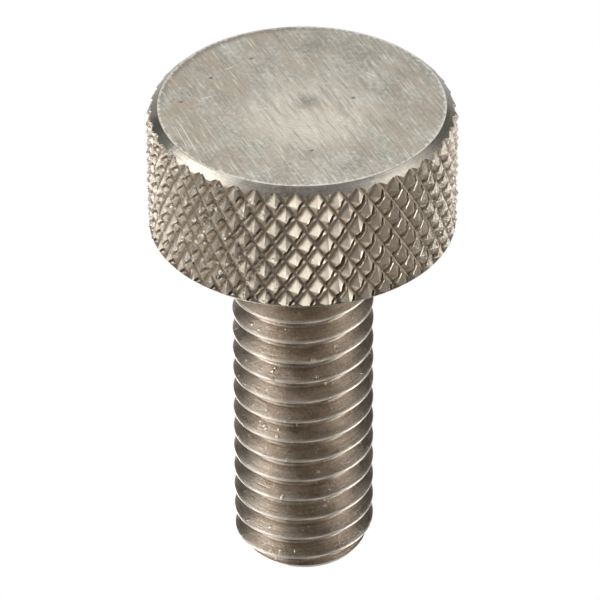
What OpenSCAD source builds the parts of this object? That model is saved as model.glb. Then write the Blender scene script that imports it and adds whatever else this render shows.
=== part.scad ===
// Knurled thumb screw, turned from one piece of bar.
// It stands on the flat face of its head: the axis is Z, the face is at z = 0
// and the thread points up. Lengths are in millimetres.

/* [Thread] */
// Major diameter, over the crests
thread_d = 5.8; // [4.5:0.02:8]
// Pitch of the right-hand thread
thread_pitch = 1; // [0.7:0.05:1.5]
// Width of the flat on each crest
crest_w = 0.12; // [0.08:0.01:0.2]
// Width of the flat in each root
root_w = 0.24; // [0.1:0.01:0.35]
// Turn of the thread about the axis, in degrees
thread_turn = 19; // [0:1:359]

/* [Shank] */
// Length from the seat under the head to the end of the point
shank_len = 16; // [8:0.5:40]
// Plain length between the seat and the thread's run-out
plain_len = 0.8; // [0.2:0.1:3]
// Turns over which the groove runs out
runout_turns = 0.75; // [0.25:0.25:1.5]
// Diameter of the flat end of the point
point_d = 4.7; // [2:0.1:5.4]
// Half angle of the point's cone
point_angle = 35; // [20:5:60]

/* [Head] */
// Diameter over the crests of the knurl
head_d = 12.64; // [10:0.02:20]
// Height of the head, from its face to the seat
head_h = 5.6; // [3:0.1:12]
// 45 degree chamfer round the face
face_chamfer = 0.48; // [0.3:0.02:1]
// 45 degree chamfer round the seat
seat_chamfer = 0.2; // [0.1:0.02:0.6]

/* [Knurl] */
// Pitch of the diamonds, square to the grooves
knurl_pitch = 0.727; // [0.6:0.01:1.6]
// Angle of the grooves from the axis
knurl_angle = 32.6; // [25:0.2:45]
// Depth of the grooves below the crests
knurl_depth = 0.24; // [0.1:0.02:0.28]
// Width of the small flat left on each diamond
diamond_flat = 0.1; // [0.04:0.02:0.2]
// Distance from the face to a row of diamonds
knurl_start = 0.68; // [0:0.02:2]
// Turn of that row about the axis, in degrees
knurl_turn = 5.8; // [0:0.1:15]

/* [Hidden] */
thread_angle = 60;
turn_steps = 36; // straight steps in one turn of the thread
over = 0.03; // how far a form that a turned surface trims stands out of it
sunk = 1; // how far the shank starts inside the head

thread_r = thread_d / 2;
point_r = point_d / 2;
head_r = head_d / 2;
total_h = head_h + shank_len;
point_len = (thread_r - point_r) / tan(point_angle);

// The groove's depth follows from its widths at the crest and at the root
flank_w = (thread_pitch - crest_w - root_w) / 2;
groove_depth = flank_w / tan(thread_angle / 2);
over_w = over * tan(thread_angle / 2);
thread_form = [
    [0, -groove_depth],
    [flank_w + over_w, over],
    [flank_w + crest_w - over_w, over],
    [flank_w * 2 + crest_w, -groove_depth]
];
step_angle = 360 / turn_steps;
step_rise = thread_pitch / turn_steps;

// The number of diamonds in a row is whole, and rows interlock at half of it
diamonds = round(PI * head_d * cos(knurl_angle) / knurl_pitch);
half_angle = 180 / diamonds;
half_w = PI * head_r / diamonds;
row_h = half_w / tan(knurl_angle);
flat_share = diamond_flat / half_w / 2;

// Share of the groove that is cut at one step, counted from the first cut
function cut_share(steps) = max(0, min(1, steps / runout_turns / turn_steps));

// A point at a radius, an angle about the axis and a height
function polar(r, a, z) = [r * cos(a), r * sin(a), z];

// The threaded bar, as one helical band that closes on itself a turn later.
// It is longer than the shank at both ends, and its crests stand out by over.
module threaded_bar(z_low, z_high, z_cut) {
    forms = len(thread_form);
    steps = ceil((z_high - z_low) / step_rise) + turn_steps;
    last = steps - turn_steps;
    low_end = (steps + 1) * forms;
    high_end = low_end + 1;
    function form_r(k, s) =
        (thread_r + over + (thread_form[k][1] - over) * cut_share(s)) / cos(step_angle / 2);
    function at(s, k) = k < forms ? s * forms + k : (s + turn_steps) * forms + k - forms;
    points = [
        for (s = [0:steps]) for (k = [0:forms - 1])
            polar(
                form_r(k, s - (z_cut - z_low) / step_rise),
                thread_turn + s * step_angle,
                z_low + s * step_rise + thread_form[k][0]
            ),
        [0, 0, z_low],
        [0, 0, z_high + thread_pitch * 2]
    ];
    faces = [
        for (s = [0:steps - 1]) for (k = [0:forms - 1])
            if (k < forms - 1 || s < last) each [
                [at(s, k), at(s + 1, k + 1), at(s + 1, k)],
                [at(s, k), at(s, k + 1), at(s + 1, k + 1)]
            ],
        for (s = [0:turn_steps - 1]) [at(s, 0), at(s + 1, 0), low_end],
        for (k = [0:forms - 1]) [at(0, k + 1), at(0, k), low_end],
        for (s = [last:steps - 1]) [at(s + 1, forms - 1), at(s, forms - 1), high_end],
        for (k = [0:forms - 2]) [at(steps, k), at(steps, k + 1), high_end],
        [at(last, forms - 1), at(steps, 0), high_end]
    ];
    polyhedron(points = points, faces = faces);
}

// The bar of the head, with a diamond on every other point of a grid
module knurled_bar(z_low, z_high) {
    around = diamonds * 2;
    first_row = floor((z_low - knurl_start) / row_h) - 1;
    rows = ceil((z_high - knurl_start) / row_h) + 1 - first_row;
    root_r = head_r - knurl_depth;
    grid = (rows + 1) * around;
    function row_z(i) = knurl_start + (first_row + i) * row_h;
    function is_diamond(i, m) = (first_row + i + m) % 2 == 0;
    function root(i, m) = i * around + (m + around) % around;
    function top(i, m, k) = grid + (root(i, m) - around) * 4 + k;
    points = [
        for (i = [0:rows]) for (m = [0:around - 1])
            polar(root_r, knurl_turn + m * half_angle, row_z(i)),
        for (i = [1:rows - 1]) for (m = [0:around - 1]) for (k = [0:3])
            polar(
                head_r,
                knurl_turn + (m + flat_share * [1, 0, -1, 0][k]) * half_angle,
                row_z(i) + flat_share * [0, 1, 0, -1][k] * row_h
            )
    ];
    faces = [
        [for (m = [0:around - 1]) root(0, m)],
        [for (m = [around - 1:-1:0]) root(rows, m)],
        for (m = [0:around - 1]) if (is_diamond(0, m))
            each [
                [root(0, m), root(0, m - 1), root(1, m)],
                [root(0, m), root(1, m), root(0, m + 1)]
            ],
        for (m = [0:around - 1]) if (is_diamond(rows, m))
            each [
                [root(rows, m), root(rows, m + 1), root(rows - 1, m)],
                [root(rows, m), root(rows - 1, m), root(rows, m - 1)]
            ],
        for (i = [1:rows - 1]) for (m = [0:around - 1]) if (is_diamond(i, m))
            let (corners = [root(i, m + 1), root(i + 1, m), root(i, m - 1), root(i - 1, m)])
            each [
                [for (k = [3:-1:0]) top(i, m, k)],
                for (k = [0:3]) [corners[k], top(i, m, k), top(i, m, (k + 1) % 4)],
                for (k = [0:3]) [corners[k], top(i, m, (k + 1) % 4), corners[(k + 1) % 4]]
            ]
    ];
    polyhedron(points = points, faces = faces);
}

module head() {
    intersection() {
        knurled_bar(0, head_h);
        rotate_extrude($fn = 180)
            polygon([
                [0, 0],
                [head_r - face_chamfer, 0],
                [head_r + over, face_chamfer + over],
                [head_r + over, head_h - seat_chamfer - over],
                [head_r - seat_chamfer, head_h],
                [0, head_h]
            ]);
    }
}

module shank() {
    intersection() {
        threaded_bar(head_h - sunk * 2, total_h, head_h + plain_len);
        rotate_extrude($fn = 180)
            polygon([
                [0, head_h - sunk],
                [thread_r, head_h - sunk],
                [thread_r, total_h - point_len],
                [point_r, total_h],
                [0, total_h]
            ]);
    }
}

module thumb_screw() {
    color("silver") {
        head();
        shank();
    }
}

thumb_screw();
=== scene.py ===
# Knurled thumb screw: one turned piece of steel, standing on the flat face of its head.
# It is modelled in millimetres and brought to metres at the end.
import math
import random
import bmesh
import bpy
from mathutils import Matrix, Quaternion, Vector


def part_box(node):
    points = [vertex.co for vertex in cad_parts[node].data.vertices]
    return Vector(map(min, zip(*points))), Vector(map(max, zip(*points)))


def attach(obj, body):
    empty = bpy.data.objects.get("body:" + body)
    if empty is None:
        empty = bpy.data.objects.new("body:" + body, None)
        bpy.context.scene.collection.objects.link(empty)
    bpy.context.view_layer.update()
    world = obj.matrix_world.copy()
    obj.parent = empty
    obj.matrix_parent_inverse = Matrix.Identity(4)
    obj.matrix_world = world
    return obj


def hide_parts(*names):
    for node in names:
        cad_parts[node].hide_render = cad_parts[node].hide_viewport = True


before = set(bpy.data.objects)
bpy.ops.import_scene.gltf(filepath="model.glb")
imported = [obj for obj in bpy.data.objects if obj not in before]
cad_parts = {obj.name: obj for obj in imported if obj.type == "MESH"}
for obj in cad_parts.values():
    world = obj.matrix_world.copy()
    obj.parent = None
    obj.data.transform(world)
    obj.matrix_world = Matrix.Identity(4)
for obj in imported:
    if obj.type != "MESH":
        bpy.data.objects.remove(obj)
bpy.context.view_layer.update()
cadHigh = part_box("thumb_screw")[1]
millimetres = 1000
totalHeight = cadHigh.z * millimetres
crestRadius = cadHigh.x * millimetres
print("frame loaded")

# The camera looks up at the face that the screw stands on, and is turned over
# so that the head is at the top of the view. Lengths are in metres.
cameraSizes = {
    "distance": 0.250,              # from the middle of the face
    "elevation": 33.36,             # of the camera below the floor, in degrees
    "lens": 373.7,
    "aim": (0.00012, 0, 0.00958),   # the point in the middle of the view
    "roll": 179.71,
    "clip": (0.01, 10),
}


def addCamera(sizes):
    tilt = math.radians(sizes["elevation"])
    place = Vector((0, -math.cos(tilt), -math.sin(tilt))) * sizes["distance"]
    camera = bpy.data.objects.new("camera", bpy.data.cameras.new("camera"))
    bpy.context.scene.collection.objects.link(camera)
    camera.location = place
    camera.rotation_mode = "QUATERNION"
    level = (Vector(sizes["aim"]) - place).to_track_quat("-Z", "Y")
    camera.rotation_quaternion = level @ Quaternion((0, 0, 1), math.radians(sizes["roll"]))
    camera.data.lens = sizes["lens"]
    camera.data.clip_start, camera.data.clip_end = sizes["clip"]
    bpy.context.scene.camera = camera


addCamera(cameraSizes)
print("camera placed")


# Helpers for modelling by hand
def near(value, wanted, tolerance=0.001):
    return abs(value - wanted) < tolerance


def activate(piece):
    bpy.ops.object.select_all(action="DESELECT")
    piece.select_set(True)
    bpy.context.view_layer.objects.active = piece


def newPiece(name):
    piece = bpy.context.object
    piece.name = name
    piece.data.name = name
    return piece


def startEdit(piece):
    activate(piece)
    bpy.ops.object.mode_set(mode="EDIT")
    bpy.ops.mesh.select_mode(type="VERT")


def endEdit():
    bpy.ops.object.mode_set(mode="OBJECT")


def pick(piece, test):
    bpy.ops.mesh.select_all(action="DESELECT")
    mesh = bmesh.from_edit_mesh(piece.data)
    for vertex in mesh.verts:
        vertex.select = test(vertex.co)
    mesh.select_flush_mode()
    bmesh.update_edit_mesh(piece.data)


def applyModifiers(piece):
    activate(piece)
    for modifier in list(piece.modifiers):
        bpy.ops.object.modifier_apply(modifier=modifier.name)


def applyPlace(piece):
    activate(piece)
    bpy.ops.object.transform_apply()


def combine(piece, other, operation):
    modifier = piece.modifiers.new(operation, "BOOLEAN")
    modifier.operation = operation
    modifier.solver = "EXACT"
    modifier.object = other
    modifier.material_mode = "TRANSFER"
    applyModifiers(piece)
    bpy.data.objects.remove(other)


def finish(piece, *materials):
    piece.data.materials.clear()
    for material in materials:
        piece.data.materials.append(material)


def mergeDoubles(threshold):
    bpy.ops.mesh.select_all(action="SELECT")
    bpy.ops.mesh.remove_doubles(threshold=threshold)


def turnOutwards():
    bpy.ops.mesh.select_all(action="SELECT")
    bpy.ops.mesh.normals_make_consistent(inside=False)


# A combination can leave doubles and slivers, which would spoil the next one
def clean(piece, threshold=0.0001):
    startEdit(piece)
    mergeDoubles(threshold)
    bpy.ops.mesh.delete_loose(use_verts=True, use_edges=True, use_faces=True)
    endEdit()


# A disc extruded up the axis, through the radii and heights of a profile
def turned(name, profile, steps):
    radius, height = profile[0]
    bpy.ops.object.select_all(action="DESELECT")
    bpy.ops.mesh.primitive_circle_add(
        vertices=steps, radius=radius, fill_type="NGON", location=(0, 0, height))
    piece = newPiece(name)
    applyPlace(piece)
    startEdit(piece)
    bpy.ops.mesh.select_all(action="SELECT")
    for nextRadius, nextHeight in profile[1:]:
        rise = (0, 0, nextHeight - height)
        bpy.ops.mesh.extrude_region_move(TRANSFORM_OT_translate={"value": rise})
        share = nextRadius / radius
        bpy.ops.transform.resize(value=(share, share, 1), center_override=(0, 0, nextHeight))
        radius, height = nextRadius, nextHeight
    turnOutwards()
    endEdit()
    return piece


# Shader nodes as expressions
class Wire:
    def __init__(self, tree, socket):
        self.tree = tree
        self.socket = socket

    def node(self, kind, settings=None, values=None, output=0):
        made = self.tree.nodes.new("ShaderNode" + kind)
        for name, setting in (settings or {}).items():
            setattr(made, name, setting)
        for name, value in (values or {}).items():
            if isinstance(value, Wire):
                self.tree.links.new(value.socket, made.inputs[name])
            else:
                made.inputs[name].default_value = value
        return Wire(self.tree, made.outputs[output])

    def maths(self, operation, *values):
        return self.node("Math", {"operation": operation}, dict(enumerate(values)))

    def __add__(self, other):
        return self.maths("ADD", self, other)

    def __sub__(self, other):
        return self.maths("SUBTRACT", self, other)

    def __rsub__(self, other):
        return self.maths("SUBTRACT", other, self)

    def __mul__(self, other):
        return self.maths("MULTIPLY", self, other)

    __radd__ = __add__
    __rmul__ = __mul__

    def size(self):
        return self.maths("ABSOLUTE", self)

    def between(self, low, high):
        # rises softly from 0 at low to 1 at high
        settings = {"interpolation_type": "SMOOTHSTEP"}
        return self.node("MapRange", settings, {"Value": self, "From Min": low, "From Max": high})

    def scaled(self, factors):
        return self.node("VectorMath", {"operation": "MULTIPLY"}, {0: self, 1: factors})

    def along(self, direction):
        settings = {"operation": "DOT_PRODUCT"}
        return self.node("VectorMath", settings, {0: self, 1: direction}, "Value")

    def distance(self, point=(0, 0, 0)):
        return self.node("VectorMath", {"operation": "DISTANCE"}, {0: self, 1: point}, "Value")

    def noise(self, scale, detail=2, layer=0):
        # a soft grain from 0 to 1; layer shifts it, by a number or along a value
        values = {"Vector": self, "W": layer, "Scale": scale, "Detail": detail, "Roughness": 0.6}
        return self.node("TexNoise", {"noise_dimensions": "4D"}, values)

    def spots(self, scale, size, layer=0):
        # round spots, 1 inside and 0 outside
        settings = {"voronoi_dimensions": "4D"}
        values = {"Vector": self, "W": layer, "Scale": scale}
        return 1 - self.node("TexVoronoi", settings, values, "Distance").between(size * 0.5, size)

    def mixed(self, under, over):
        # a colour: under where this is 0, over where it is 1
        return self.node("Mix", {"data_type": "RGBA"}, {0: self, 6: under, 7: over}, 2)


def startMaterial(name):
    material = bpy.data.materials.new(name)
    material.use_nodes = True
    # positions on the screw, in millimetres
    metres = Wire(material.node_tree, None).node("TexCoord", output="Object")
    return material, metres.scaled((millimetres,) * 3)


def endMaterial(material, colour, roughness, relief):
    shader = material.node_tree.nodes["Principled BSDF"]
    shader.inputs["Metallic"].default_value = 1
    bump = relief.node(
        "Bump", values={"Distance": 1 / millimetres, "Height": relief}, output="Normal")
    for name, wire in (("Base Color", colour), ("Roughness", roughness), ("Normal", bump)):
        material.node_tree.links.new(wire.socket, shader.inputs[name])
    return material


# The flat face: faced in the lathe, then scratched one way in use.
# A fade is where a soft border starts and ends. Places and lengths are in millimetres.
faceFinish = {
    "grey": (0.61, 0.59, 0.53, 1),
    "dull": (0.34, 0.32, 0.275, 1),
    "brown": (0.48, 0.41, 0.33, 1),
    # the next colour is painted shade, for the strip inside the edge
    "strip": (0.27, 0.225, 0.18, 1),
    "bright": (0.86, 0.84, 0.79, 1),
    "sheenCream": (0.80, 0.74, 0.64, 1),
    # the next colour is a painted highlight, the sheen round the centre
    "nick": (0.95, 0.93, 0.88, 1),
    "pit": (0.16, 0.13, 0.10, 1),
    "scratchWay": (0.40, 0.917, 0),
    "sheenAt": (-0.25, -0.4, 0),    # painted highlight: the light sheen round the centre, stronger at the front
    "sheenFade": (1.2, 3.6),
    "frontFade": (-2.2, 3),
    "centreAt": (-0.14, 0.27, 0),   # the dull mark where the tool stopped
    "centreFade": (0.15, 0.85),
    "brownWay": (1, 0.3, 0),        # browner towards this side
    "brownFade": (0.5, 5),
    "stripWay": (0.64, 0.77, 0),    # painted shade: a dark strip inside the edge on this side
    "stripFade": (3.4, 5),
    "stripEdge": (5.4, 5.7),
    "rimFade": (5.70, 5.78),        # the edge is rubbed bright
    "nicks": (      # centre, direction, half length and half width
        ((2.95, 2.72, 0), (-0.88, 0.48, 0), 0.23, 0.022),
        ((3.03, 3.88, 0), (-0.94, 0.34, 0), 0.21, 0.018),
        ((3.83, 0.56, 0), (-0.94, 0.35, 0), 0.26, 0.022),
        ((1.62, -0.31, 0), (-0.94, 0.35, 0), 0.26, 0.016),
        ((-2.8, 2.2, 0), (0.77, 0.64, 0), 0.31, 0.02),
        ((4.57, -2.25, 0), (0.31, 0.95, 0), 1.34, 0.018),
        ((4.80, -2.35, 0), (0.31, 0.95, 0), 0.9, 0.012),
    ),
    "pits": ((2.06, 3.45), (3.67, 2.02), (4.87, 0.27), (-2.07, 0.5), (-0.4, -3.3)),
    "pitFade": (0.03, 0.11),
}


def nickMask(place, nicks):
    mask = 0
    for centre, direction, length, width in nicks:
        centre, way = Vector(centre), Vector(direction).normalized()
        side = Vector((-way.y, way.x, 0))
        lengthways = (place.along(way) - way.dot(centre)).size().between(length * 0.6, length)
        sideways = (place.along(side) - side.dot(centre)).size().between(width * 0.5, width * 1.4)
        mask = mask + (1 - lengthways) * (1 - sideways)
    return mask


def pitMask(place, pits, fade, raggedness):
    mask = 0
    for x, y in pits:
        mask = mask + (1 - (place.distance((x, y, 0)) + raggedness).between(*fade))
    return mask


def facedSteel(sizes):
    material, place = startMaterial("facedSteel")
    way = Vector(sizes["scratchWay"])
    across = place.along(Vector((-way.y, way.x, 0)))
    streaks = place.node("CombineXYZ", values={"X": across, "Y": place.along(way) * 0.08})
    fine = streaks.noise(11, detail=4)
    coarse = streaks.noise(4.5, detail=3, layer=3)
    patches = place.noise(0.6, detail=5)
    speckle = place.noise(6, detail=5, layer=5)
    stains = place.noise(0.9, detail=3, layer=8)
    radius = place.distance()
    rings = place.noise(0.3, detail=2, layer=radius * 30)

    # painted highlight: a light sheen round the centre of the face, stronger towards the front
    front = 1 - place.along((0, 1, 0)).between(*sizes["frontFade"])
    centre = 1 - place.distance(sizes["centreAt"]).between(*sizes["centreFade"])
    spread = place.distance(sizes["sheenAt"]) + (patches - 0.5) * 2.5
    paintedSheen = (1 - spread.between(*sizes["sheenFade"])) * (1 - centre) * (0.4 + 0.6 * front)
    # painted shade: a dark strip inside the edge on one side
    strip = radius.between(*sizes["stripEdge"])
    strip = strip * place.along(sizes["stripWay"]).between(*sizes["stripFade"])
    brown = place.along(sizes["brownWay"]).between(*sizes["brownFade"])
    nicks = nickMask(place, sizes["nicks"])
    pits = pitMask(place, sizes["pits"], sizes["pitFade"], (speckle - 0.5) * 0.15)
    rim = (radius + (speckle - 0.5) * 0.5).between(*sizes["rimFade"])

    tone = patches * 0.45 + speckle * 0.4 + fine * 0.15 - centre * 0.1 - strip * 0.12
    colour = tone.between(0.38, 0.6).mixed(sizes["dull"], sizes["grey"])
    brownness = stains.between(0.44, 0.6) * (0.55 + 0.2 * brown) + brown * 0.15
    colour = brownness.mixed(colour, sizes["brown"])
    colour = (strip * (0.35 + 0.5 * patches)).mixed(colour, sizes["strip"])
    colour = (paintedSheen * 0.7).mixed(colour, sizes["sheenCream"])
    colour = ((1 - coarse.between(0.35, 0.47)) * 0.5).mixed(colour, sizes["dull"])
    colour = ((1 - fine.between(0.34, 0.45)) * 0.75).mixed(colour, sizes["dull"])
    colour = (fine.between(0.54, 0.68) * 0.6).mixed(colour, sizes["bright"])
    colour = (speckle.between(0.6, 0.72) * 0.6).mixed(colour, sizes["bright"])
    # painted highlight: the turning rings show duller inside the sheen
    colour = ((1 - rings.between(0.3, 0.52)) * paintedSheen * 0.35).mixed(colour, sizes["dull"])
    colour = (nicks * 0.75).mixed(colour, sizes["nick"])
    colour = (pits * 0.7).mixed(colour, sizes["pit"])
    colour = (rim * 0.7).mixed(colour, sizes["bright"])
    roughness = 0.32 + 0.12 * patches
    relief = fine * 0.009 + coarse * 0.008 + speckle * 0.006 + rings * paintedSheen * 0.004 - pits * 0.02
    return endMaterial(material, colour, roughness, relief)


# Turned cones and the seat: fine lines run round them
turnedFinish = {
    "grey": (0.56, 0.52, 0.46, 1),
    "dull": (0.33, 0.30, 0.26, 1),
    "bright": (0.72, 0.68, 0.61, 1),
    # the next colour is painted shade, darkening one side of the chamfer
    "blotch": (0.20, 0.20, 0.17, 1),
    "paintedShadeAt": (5.5, -1.8, 0.2),    # painted shade: a dark patch on the chamfer of the face
    "paintedShadeFade": (0.9, 1.5),
}


def turnedSteel(sizes):
    material, place = startMaterial("turnedSteel")
    outwards = place.scaled((1, 1, 0)).distance()
    lines = place.noise(0.5, detail=3, layer=(outwards + place.along((0, 0, 1)) * 0.6) * 30)
    tarnish = place.noise(1.1, detail=4, layer=2)
    scuffs = place.noise(9, detail=4, layer=4)
    tone = lines * 0.45 + tarnish * 0.3 + scuffs * 0.25
    colour = tone.between(0.36, 0.58).mixed(sizes["dull"], sizes["grey"])
    colour = (scuffs.between(0.56, 0.68) * 0.6).mixed(colour, sizes["bright"])
    # painted shade: a dark patch on the chamfer of the face
    spread = place.distance(sizes["paintedShadeAt"]) + (scuffs - 0.5) * 1.2
    blotch = 1 - spread.between(*sizes["paintedShadeFade"])
    colour = (blotch * 0.85).mixed(colour, sizes["blotch"])
    roughness = 0.36 + 0.12 * tarnish
    relief = lines * 0.008 + scuffs * 0.006
    return endMaterial(material, colour, roughness, relief)


# The knurl: brown tarnish, rubbed lighter on top, with painted sheen on the facets that face down
# and painted shade deep in the grooves.
# It gets rougher towards +X and towards -X, over these distances from the middle.
knurlFinish = {
    "grooveDepth": 0.27,
    # the next two colours: rubbed metal with painted sheen, and tarnish with painted shade
    "rubbedAndSheen": (0.78, 0.70, 0.60, 1),
    "tarnishAndShade": (0.62, 0.54, 0.44, 1),
    "dull": (0.43, 0.365, 0.29, 1),
    # the next colour is painted shade, for the grooves and pits
    "hollowShade": (0.15, 0.11, 0.08, 1),
    # the next colour is for painted glints
    "glintFleck": (0.92, 0.88, 0.80, 1),
    "roughPlusX": (0, 3),
    "roughMinusX": (3.8, 5.6),
}


def knurledSteel(sizes):
    material, place = startMaterial("knurledSteel")
    outwards = place.scaled((1, 1, 0)).distance()
    height = (outwards - (crestRadius - sizes["grooveDepth"])) * (1 / sizes["grooveDepth"])
    mottle = place.noise(2.2, detail=4)
    grain = place.noise(11, detail=4, layer=3)
    rough = place.along((1, 0, 0)).between(*sizes["roughPlusX"])
    rough = rough + place.along((-1, 0, 0)).between(*sizes["roughMinusX"])
    # painted sheen: facets that face down, towards the face, are lighter; the top is lighter by
    # wear
    sheenFacingDown = place.node("TexCoord", output="Normal").along((0, 0, -1))
    wearAndSheen = height * 0.25 + sheenFacingDown * 0.3 + mottle * 0.45
    colour = wearAndSheen.between(0.15, 0.62).mixed(sizes["tarnishAndShade"], sizes["rubbedAndSheen"])
    dullness = (1 - grain.between(0.36, 0.5)) * (0.25 + 0.35 * rough)
    colour = dullness.mixed(colour, sizes["dull"])
    # painted shade: darker deep in the grooves, more so on the rough sides
    hollowShade = 1 - (height + (mottle - 0.5) * 0.4).between(0.03, 0.32)
    colour = (hollowShade * (0.55 + 0.12 * rough)).mixed(colour, sizes["hollowShade"])
    # painted shade: small dark pits, also sunk a little
    pits = place.spots(4.5, 0.42, layer=1) * mottle.between(0.48, 0.58) * (0.25 + 0.75 * rough)
    colour = (pits * 0.85).mixed(colour, sizes["hollowShade"])
    # painted glints: bright flecks and specks, more on the rough sides, the specks also raised
    specks = place.spots(3.6, 0.46, layer=4) * grain.between(0.4, 0.5) * rough
    glintFlecks = grain.between(0.57, 0.68) * (0.2 + 0.6 * rough) + specks
    colour = glintFlecks.mixed(colour, sizes["glintFleck"])
    roughness = 0.28 + 0.14 * mottle + hollowShade * 0.2
    relief = grain * (0.007 + 0.038 * rough) - pits * 0.05 + specks * 0.06
    return endMaterial(material, colour, roughness, relief)


# The thread: brown in the groove, its lines follow the helix, its crest rubbed light
threadFinish = {
    "crest": (0.72, 0.66, 0.59, 1),
    "flank": (0.55, 0.475, 0.40, 1),
    "dark": (0.31, 0.245, 0.19, 1),
    # the next colour is for painted glints
    "glintFleck": (0.90, 0.85, 0.78, 1),
    "crestFade": (2.83, 2.88),
}


def threadedSteel(sizes):
    material, place = startMaterial("threadedSteel")
    outwards = place.scaled((1, 1, 0)).distance()
    lines = place.noise(0.8, detail=3, layer=outwards * 20)
    blotch = place.noise(1.2, detail=4, layer=1)
    grain = place.noise(10, detail=4, layer=9)
    # painted glints: bright flecks on the thread, also raised a little
    glintFlecks = place.spots(3.4, 0.34, layer=2) * place.noise(3, layer=7).between(0.48, 0.56)
    tone = lines * 0.35 + blotch * 0.3 + grain * 0.35
    colour = tone.between(0.36, 0.6).mixed(sizes["dark"], sizes["flank"])
    colour = ((grain.between(0.6, 0.72) + glintFlecks * 0.7) * 0.7).mixed(colour, sizes["glintFleck"])
    crest = (outwards + (grain - 0.5) * 0.1).between(*sizes["crestFade"])
    colour = (crest * 0.8).mixed(colour, sizes["crest"])
    roughness = 0.3 + 0.15 * blotch
    relief = lines * 0.012 + grain * 0.016 + glintFlecks * 0.015
    return endMaterial(material, colour, roughness, relief)


steels = {
    "faced": facedSteel(faceFinish),
    "turned": turnedSteel(turnedFinish),
    "knurled": knurledSteel(knurlFinish),
    "threaded": threadedSteel(threadFinish),
}
print("finishes mixed")

# The knurl is a flat sheet of copies of a few diamonds, bent round to a bar.
# A diamond is shaped as a square from -1 to 1, with the depth of the grooves as its unit of height.
knurlSizes = {
    "around": 46,           # diamonds in one row
    "rows": 11,
    "thirdRow": 0.778,      # its height above the face; the first two rows are mostly trimmed away
    "turn": 2.25,           # degrees from the front to a diamond of that row
    "angle": 32.6,          # grooves from the axis, degrees
    "depth": knurlFinish["grooveDepth"],
    "along": (-1, -0.93, -0.5, 0, 0.5, 0.93, 1),    # where the grid lines of a diamond lie
    "across": (-1, -0.95, -0.5, 0, 0.16, 0.24, 0.42, 0.54, 0.62, 0.95, 1),
    "top": 0.96,            # height of the diamond's point
    "cleftStart": -0.6,
    "cleftWithin": 0.7,     # its lines end within this
    "bowFrom": 0.4,         # and their ends lie beyond this
    "bow": 0.04,            # how far those ends are drawn back round the point
    "bowReach": 1.3,
    "tornWithin": 0.9,      # outside this a diamond stays even, so that it meets the next
    "tear": 0.035,          # how ragged it is inside
    "forms": 3,             # each kind of cleft comes in a few ragged forms
    # the kind of cleft goes by the row and by the angle from the front, in degrees
    "shortRows": 3,
    "plainRows": 2,
    "wideSide": (-75, -18),
    "faintSide": (22, 75),
    "straying": 6,          # how far those angles stray
    "unevenness": 0.007,    # of the whole knurl
    "merge": 0.003,
    "seeds": (4, 2),        # for the choice of diamonds and for the unevenness
}

# The cleft behind the point of a diamond: where it ends, how deep it is, how much wider it is
# than the grid, and the height of the burr beyond it
clefts = {
    "short": {"end": 0.3, "depth": 0.5, "widening": 0.9, "burr": 0.06},
    "long": {"end": 0.7, "depth": 0.55, "widening": 1, "burr": 0.1},
    "wide": {"end": 0.7, "depth": 0.8, "widening": 1.4, "burr": 0.26},
    "faint": {"end": 0.3, "depth": 0.45, "widening": 0.8, "burr": 0.1},
    "plain": {"end": -0.3, "depth": 0.1, "widening": 0.8, "burr": 0.03},
}


# The even lines of the grid are moved to their places
def spreadLines(diamond, axis, lines):
    cells = len(lines) - 1
    mesh = bmesh.from_edit_mesh(diamond.data)
    for vertex in mesh.verts:
        vertex.co[axis] = lines[round((vertex.co[axis] + 1) * cells / 2)]
    bmesh.update_edit_mesh(diamond.data)


def lift(diamond, height, test):
    pick(diamond, lambda at: test(at.x, at.y))
    bpy.ops.transform.translate(value=(0, 0, height))


def raisePoint(diamond, along, across, top):
    for x in along[2:-2]:
        for y in across[2:-2]:
            slope = min(1 - abs(x / along[1]), 1 - abs(y / across[1]))
            lift(diamond, top * slope, lambda atX, atY: near(atX, x) and near(atY, y))


def cutCleft(diamond, sizes, cleft):
    edge, floor, floorSide, lip, lipSide = sizes["across"][4:9]
    start, end, burr = sizes["cleftStart"], cleft["end"], cleft["burr"]
    for y, height in (
        (floor, -cleft["depth"]),
        (floorSide, -cleft["depth"]),
        (lip, burr),
        (lipSide, burr + lipSide - lip),
        (edge, burr / 3),
    ):
        lift(diamond, height, lambda atX, atY: near(atY, y) and start < atX < end)
    # the cleft is widened, and bowed round the point
    slack, within = 0.01, sizes["cleftWithin"]
    low, high = edge - slack, lipSide + slack
    pick(diamond, lambda at: low < at.y < high and abs(at.x) < within)
    bpy.ops.transform.resize(value=(1, cleft["widening"], 1), center_override=(0, edge / 2, 0))
    low, high = edge / 2, lipSide * sizes["bowReach"]
    pick(diamond, lambda at: low < at.y < high and sizes["bowFrom"] < abs(at.x) < within)
    bpy.ops.transform.translate(value=(0, -sizes["bow"], 0))


def splitQuads(diamond, side, method):
    bpy.ops.mesh.select_mode(type="FACE")
    mesh = bmesh.from_edit_mesh(diamond.data)
    for face in mesh.faces:
        middle = face.calc_center_median()
        face.select = len(face.verts) == 4 and middle.x * middle.y * side > 0
    bmesh.update_edit_mesh(diamond.data)
    bpy.ops.mesh.quads_convert_to_tris(quad_method=method)
    bpy.ops.mesh.select_mode(type="VERT")


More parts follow.
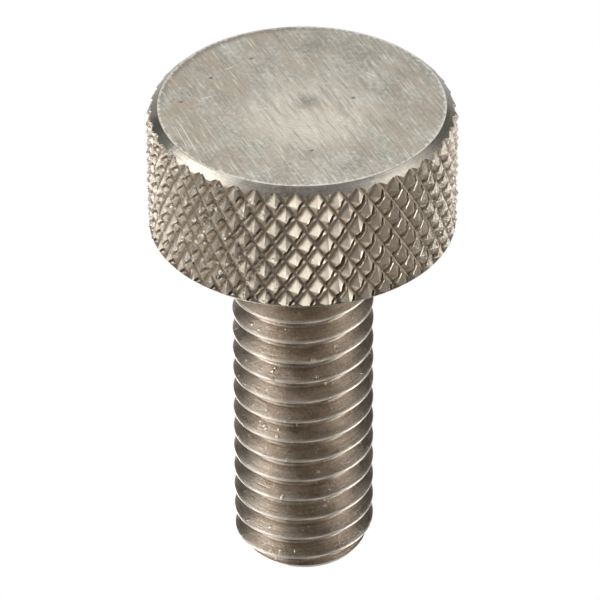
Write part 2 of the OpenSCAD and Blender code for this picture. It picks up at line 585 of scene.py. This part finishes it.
def addDiamond(sizes, cleft, form, halfWidth, halfHeight):
    along, across = sizes["along"], sizes["across"]
    bpy.ops.object.select_all(action="DESELECT")
    bpy.ops.mesh.primitive_grid_add(
        x_subdivisions=len(along) - 1, y_subdivisions=len(across) - 1, size=2)
    diamond = newPiece("diamond")
    startEdit(diamond)
    spreadLines(diamond, 0, along)
    spreadLines(diamond, 1, across)
    raisePoint(diamond, along, across, sizes["top"])
    cutCleft(diamond, sizes, cleft)
    pick(diamond, lambda at: max(abs(at.x), abs(at.y)) < sizes["tornWithin"])
    bpy.ops.transform.vertex_random(offset=sizes["tear"], uniform=1, seed=form)
    splitQuads(diamond, 1, "FIXED")     # along the ridges to the corners
    splitQuads(diamond, -1, "FIXED_ALTERNATE")
    endEdit()
    # the square is turned on its corner, stretched to its size and stood up
    diamond.rotation_euler.z = math.radians(45)
    applyPlace(diamond)
    diamond.scale = (halfWidth / math.sqrt(2), halfHeight / math.sqrt(2), sizes["depth"])
    applyPlace(diamond)
    diamond.rotation_euler.x = math.radians(90)
    applyPlace(diamond)
    finish(diamond, steels["knurled"])
    return diamond


def chooseCleft(sizes, row, angle, chance):
    kind = "short" if row + chance.uniform(-1, 1) < sizes["shortRows"] else "long"
    wideStart, wideEnd = sizes["wideSide"]
    faintStart, faintEnd = sizes["faintSide"]
    if row < sizes["plainRows"] and angle < wideEnd:
        kind = "plain"
    elif wideStart < angle < wideEnd:
        kind = "wide"
    elif faintStart < angle < faintEnd:
        kind = "faint"
    return kind


def openEdges(piece, low, high):
    bpy.ops.mesh.select_all(action="DESELECT")
    bpy.ops.mesh.select_non_manifold()
    mesh = bmesh.from_edit_mesh(piece.data)
    for vertex in mesh.verts:
        vertex.select = vertex.select and low < vertex.co.z < high
    mesh.select_flush_mode()
    bmesh.update_edit_mesh(piece.data)


def closeEnds(piece, middle):
    for low, high in ((-middle, middle), (middle, 10 * middle)):
        openEdges(piece, low, high)
        bpy.ops.mesh.extrude_edges_move()
        bpy.ops.mesh.merge(type="CENTER")
    turnOutwards()


def addSheet(sizes, halfWidth, halfHeight):
    forms = range(sizes["forms"])
    diamonds = {
        (kind, form): addDiamond(sizes, cleft, form, halfWidth, halfHeight)
        for kind, cleft in clefts.items() for form in forms
    }
    chance = random.Random(sizes["seeds"][0])
    straying = sizes["straying"]
    copies = []
    for row in range(sizes["rows"]):
        for place in range(sizes["around"]):
            angle = (2 * place / sizes["around"] - 1) * 180 + chance.uniform(-straying, straying)
            kind = chooseCleft(sizes, row, angle, chance)
            diamond = diamonds[kind, chance.choice(forms)]
            copy = diamond.copy()
            copy.data = diamond.data.copy()
            copy.location.x = (2 * place - sizes["around"] - row % 2) * halfWidth
            copy.location.z = sizes["thirdRow"] + (row - 2) * halfHeight
            bpy.context.scene.collection.objects.link(copy)
            copies.append(copy)
    for diamond in diamonds.values():
        bpy.data.objects.remove(diamond)
    activate(copies[0])
    for copy in copies:
        copy.select_set(True)
    bpy.ops.object.join()
    return newPiece("knurledBar")


def addKnurledBar(sizes):
    rootRadius = crestRadius - sizes["depth"]
    halfWidth = math.pi * rootRadius / sizes["around"]
    slant = math.tan(math.radians(sizes["angle"]))
    halfHeight = math.pi * crestRadius / sizes["around"] / slant
    bar = addSheet(sizes, halfWidth, halfHeight)
    applyPlace(bar)
    # the sheet is bent round to a bar, and closed with a cone at each end
    bend = bar.modifiers.new("bend", "SIMPLE_DEFORM")
    bend.deform_method = "BEND"
    bend.deform_axis = "Z"
    bend.angle = bar.dimensions.x / rootRadius
    applyModifiers(bar)
    bar.location.y = -rootRadius
    applyPlace(bar)
    bar.rotation_euler.z = math.radians(sizes["turn"])
    applyPlace(bar)
    startEdit(bar)
    mergeDoubles(sizes["merge"])
    bpy.ops.transform.vertex_random(offset=sizes["unevenness"], uniform=1, seed=sizes["seeds"][1])
    closeEnds(bar, sizes["rows"] * halfHeight / 3)
    endEdit()
    return bar


# The head: a turned blank that trims the knurled bar
headSizes = {
    "height": 5.6,
    "faceChamfer": 0.48,
    "seatChamfer": 0.2,
    "rim": 0.03,            # the worn edge between face and chamfer
    "rimShape": ((-1, 0), (-0.35, 0.12), (0.35, 0.62)),     # outwards and up, in rims
    "proud": 0.04,          # how far the blank stands out of the knurl that it trims
    "burr": (               # radius and depth of the thin lip that closes the grooves at the seat
        (6.03, 0.11), (6.2, 0.1), (6.222, 0.085), (6.2, 0.05), (6.14, 0.0),
    ),
    "steps": 276,
}


def addHead(sizes, knurl):
    height, rim, proud = sizes["height"], sizes["rim"], sizes["proud"]
    flat = crestRadius - sizes["faceChamfer"]
    profile = [(flat + rim * outwards, rim * up) for outwards, up in sizes["rimShape"]]
    profile += [
        (crestRadius + proud, sizes["faceChamfer"] + proud),
        (crestRadius + proud, height - sizes["seatChamfer"] - proud),
        (crestRadius - sizes["seatChamfer"], height),
    ]
    head = turned("head", profile, sizes["steps"])
    finish(head, steels["turned"], steels["faced"])
    for face in head.data.polygons:
        if near(face.center.z, 0):
            face.material_index = 1
    combine(head, addKnurledBar(knurl), "INTERSECT")
    lip = [(radius, height - depth) for radius, depth in sizes["burr"]]
    burr = turned("burr", lip, sizes["steps"])
    finish(burr, steels["turned"])
    combine(head, burr, "UNION")
    return head


# The shank: a turned blank that trims the thread, and the plain neck
shankSizes = {
    "radius": 2.9,
    "pitch": 1,
    "crestAtFront": 8.677,  # height of one crest at the front
    "crest": 0.1,
    "root": 0.22,
    "flankAngle": 30,
    "rounding": 0.018,
    "crestShape": ((0, -1), (-0.4, 0), (-1.6, 0.9)),        # outwards and along, in roundings
    "rootShape": ((2, -1.4), (0, 2)),
    "threadOver": (1, 0.5),     # how far the thread starts before the blank and ends after it
    "neckRadius": 2.895,
    "neckOver": 0.5,
    "neckEnd": 6.5,
    "runOut": 1.05,         # height over which the groove's bottom comes out to the neck
    "runOutDepth": 0.62,
    "pointRadius": 2.345,
    "pointAngle": 35,
    "pointEdge": 0.03,
    "pointShape": ((0.3, -0.8), (-0.5, -0.1), (-1.5, 0)),   # outwards and up, in edges
    "inHead": 1.5,          # how deep in the head the shank starts
    "proud": 0.05,          # how far the blank stands out of the thread that it trims
    "steps": 120,
    "merge": 0.0005,
}


def threadProfile(sizes):
    half = sizes["pitch"] / 2
    slope = math.tan(math.radians(sizes["flankAngle"]))
    crest, root, rounding = sizes["crest"] / 2, sizes["root"] / 2, sizes["rounding"]
    bottom = sizes["radius"] - (half - crest - root) / slope
    flank = []
    for radius, start, shape in (
        (sizes["radius"], crest, sizes["crestShape"]),
        (bottom, half - root, sizes["rootShape"]),
    ):
        flank += [(radius + rounding * outwards, start + rounding * up) for outwards, up in shape]
    flank.append((bottom, half))
    return [(radius, -height) for radius, height in reversed(flank)] + flank


def drawn(name, points):
    bpy.ops.object.select_all(action="DESELECT")
    bpy.ops.mesh.primitive_plane_add()
    piece = newPiece(name)
    startEdit(piece)
    bpy.ops.mesh.select_all(action="SELECT")
    bpy.ops.mesh.merge(type="CENTER")
    bpy.ops.transform.translate(value=points[0])
    for last, point in zip(points, points[1:]):
        step = tuple(b - a for a, b in zip(last, point))
        bpy.ops.mesh.extrude_region_move(TRANSFORM_OT_translate={"value": step})
    endEdit()
    return piece


def addThread(sizes, low, high):
    pitch = sizes["pitch"]
    lead = pitch * 0.75     # the profile stands at +X, three quarters of a turn before the front
    crest = (sizes["crestAtFront"] - lead) % pitch
    start = crest + math.floor((low - crest) / pitch) * pitch
    points = [(radius, 0, start + height) for radius, height in threadProfile(sizes)]
    thread = drawn("thread", points)
    screw = thread.modifiers.new("screw", "SCREW")
    screw.axis = "Z"
    screw.angle = math.tau
    screw.screw_offset = pitch
    screw.iterations = math.ceil((high - start) / pitch) + 1
    screw.steps = screw.render_steps = sizes["steps"]
    screw.use_merge_vertices = False
    applyModifiers(thread)
    startEdit(thread)
    mergeDoubles(sizes["merge"])
    closeEnds(thread, (low + high) / 2)
    endEdit()
    finish(thread, steels["threaded"])
    return thread


def addNeck(sizes, low):
    radius, end = sizes["neckRadius"], sizes["neckEnd"]
    taper = (radius - sizes["runOutDepth"], end + sizes["runOut"])
    neck = turned("neck", [(radius, low), (radius, end), taper], sizes["steps"])
    finish(neck, steels["threaded"])
    return neck


def addShank(sizes, seat):
    radius, point, edge = sizes["radius"], sizes["pointRadius"], sizes["pointEdge"]
    proud = sizes["proud"]
    slope = math.tan(math.radians(sizes["pointAngle"]))
    bottom = seat - sizes["inHead"]
    bevel = totalHeight - (radius - point) / slope - proud / slope
    profile = [(radius + proud, bottom), (radius + proud, bevel)]
    profile += [(point + edge * out, totalHeight + edge * up) for out, up in sizes["pointShape"]]
    blank = turned("shank", profile, sizes["steps"])
    finish(blank, steels["turned"])
    before, after = sizes["threadOver"]
    thread = addThread(sizes, bottom - before, totalHeight + after)
    combine(thread, addNeck(sizes, bottom - sizes["neckOver"]), "UNION")
    combine(blank, thread, "INTERSECT")
    clean(blank)
    return blank


def addScrew(smoothAngle):
    screw = addHead(headSizes, knurlSizes)
    combine(screw, addShank(shankSizes, headSizes["height"]), "UNION")
    clean(screw)
    screw.name = screw.data.name = "thumbScrew"
    screw.scale = (1 / millimetres,) * 3
    applyPlace(screw)
    bpy.ops.object.shade_smooth_by_angle(angle=math.radians(smoothAngle))
    return screw


screw = addScrew(smoothAngle=25)
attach(screw, "root")
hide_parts("thumb_screw")
print("screw made")

# Soft lamps all round the screw. A direction is given as it is for the camera:
# 0 is the front, 90 the side at +X, and the elevation is above the floor.
# After it come how wide the lamp looks from the screw in degrees, its brightness and its colour.
lamps = {
    "keyLow": (84, -32, 30, 8.3, "clear"),
    "fillLow": (-76, -32, 30, 4.7, "clear"),
    "keyHigh": (75, 32, 30, 3.2, "clear"),
    "fillHigh": (-86, 32, 30, 4.0, "clear"),
    "keyDeep": (142, -80, 30, 3.4, "clear"),
    "backHigh": (155, 48, 30, 5.0, "clear"),
    "backLow": (180, -42, 48, 1.0, "clear"),
    "sideOne": (57, 0, 48, 1.3, "clear"),
    "sideTwo": (-68, 0, 46, 1.25, "clear"),
    "front": (0, -6, 50, 0.3, "warm"),
    "topOne": (49, 56, 30, 1.5, "warm"),
    "topTwo": (-23, 40, 30, 1.4, "warm"),
}
lampSizes = {
    "distance": 0.4,
    "aimHeight": 0.009,
    "clear": (1, 1, 0.98),
    "warm": (1, 0.92, 0.84),
}


def heading(azimuth, elevation):
    turn, tilt = math.radians(azimuth), math.radians(elevation)
    level = math.cos(tilt)
    return Vector((math.sin(turn) * level, -math.cos(turn) * level, math.sin(tilt)))


def addLamp(sizes, name, azimuth, elevation, width, brightness, colour):
    away = heading(azimuth, elevation)
    lamp = bpy.data.objects.new(name, bpy.data.lights.new(name, "AREA"))
    bpy.context.scene.collection.objects.link(lamp)
    lamp.location = Vector((0, 0, sizes["aimHeight"])) + away * sizes["distance"]
    lamp.rotation_mode = "QUATERNION"
    lamp.rotation_quaternion = away.to_track_quat("Z", "Y")
    lamp.data.shape = "DISK"
    lamp.data.size = 2 * sizes["distance"] * math.tan(math.radians(width / 2))
    lamp.data.energy = brightness * (math.pi * lamp.data.size / 2) ** 2
    lamp.data.color = sizes[colour]


for name, numbers in lamps.items():
    addLamp(lampSizes, name, *numbers)

# Seen directly the surroundings are white. The metal mirrors a white backdrop behind the screw,
# and dark surroundings elsewhere, a little lighter overhead.
skySizes = {
    "below": (0.02, 0.02, 0.02, 1),
    "overhead": (0.06, 0.06, 0.06, 1),
    "overheadFade": (-0.05, 1),
    "backdrop": (1, 1, 1, 1),
    "backdropAt": (180, 33),        # azimuth and elevation
    "backdropFade": (0.6, 0.82),
}


def addSky(sizes):
    world = bpy.data.worlds.new("studio")
    bpy.context.scene.world = world
    world.use_nodes = True
    tree = world.node_tree
    sky = Wire(tree, None)
    direction = sky.node("TexCoord", output="Generated")
    overhead = direction.along((0, 0, 1)).between(*sizes["overheadFade"])
    behind = direction.along(heading(*sizes["backdropAt"])).between(*sizes["backdropFade"])
    seen = sky.node("LightPath", output="Is Camera Ray")
    mirrored = sky.node("LightPath", output="Is Glossy Ray")
    mirrored = mirrored + sky.node("LightPath", output="Is Transmission Ray")
    grey = overhead.mixed(sizes["below"], sizes["overhead"])
    dark = sky.node("Background", values={"Color": grey})
    white = sky.node("Background", values={"Color": sizes["backdrop"]})
    shown = sky.node("MixShader", values={0: seen + mirrored * behind, 1: dark, 2: white})
    tree.links.new(shown.socket, tree.nodes["World Output"].inputs["Surface"])


addSky(skySizes)
print("lamps set")

# The floor is seen only from above, so that it doesn't hide the screw from below
floorSizes = {
    "size": 2,
    "drop": 0.00002,        # how far it lies under the screw
    "colour": (0.85, 0.85, 0.84, 1),
    "roughness": 0.9,
}


def addFloor(sizes):
    bpy.ops.object.select_all(action="DESELECT")
    bpy.ops.mesh.primitive_plane_add(size=sizes["size"], location=(0, 0, -sizes["drop"]))
    floor = newPiece("floor")
    material = bpy.data.materials.new("paleFloor")
    material.use_nodes = True
    tree = material.node_tree
    shader = tree.nodes["Principled BSDF"]
    shader.inputs["Base Color"].default_value = sizes["colour"]
    shader.inputs["Roughness"].default_value = sizes["roughness"]
    paint = Wire(tree, shader.outputs[0])
    back = paint.node("NewGeometry", output="Backfacing")
    clear = paint.node("BsdfTransparent")
    shown = paint.node("MixShader", values={0: back, 1: paint, 2: clear})
    tree.links.new(shown.socket, tree.nodes["Material Output"].inputs["Surface"])
    finish(floor, material)
    floor.visible_shadow = False
    floor.visible_glossy = False
    floor.visible_diffuse = False


addFloor(floorSizes)
bpy.context.scene.view_settings.view_transform = "Standard"
print("floor laid")
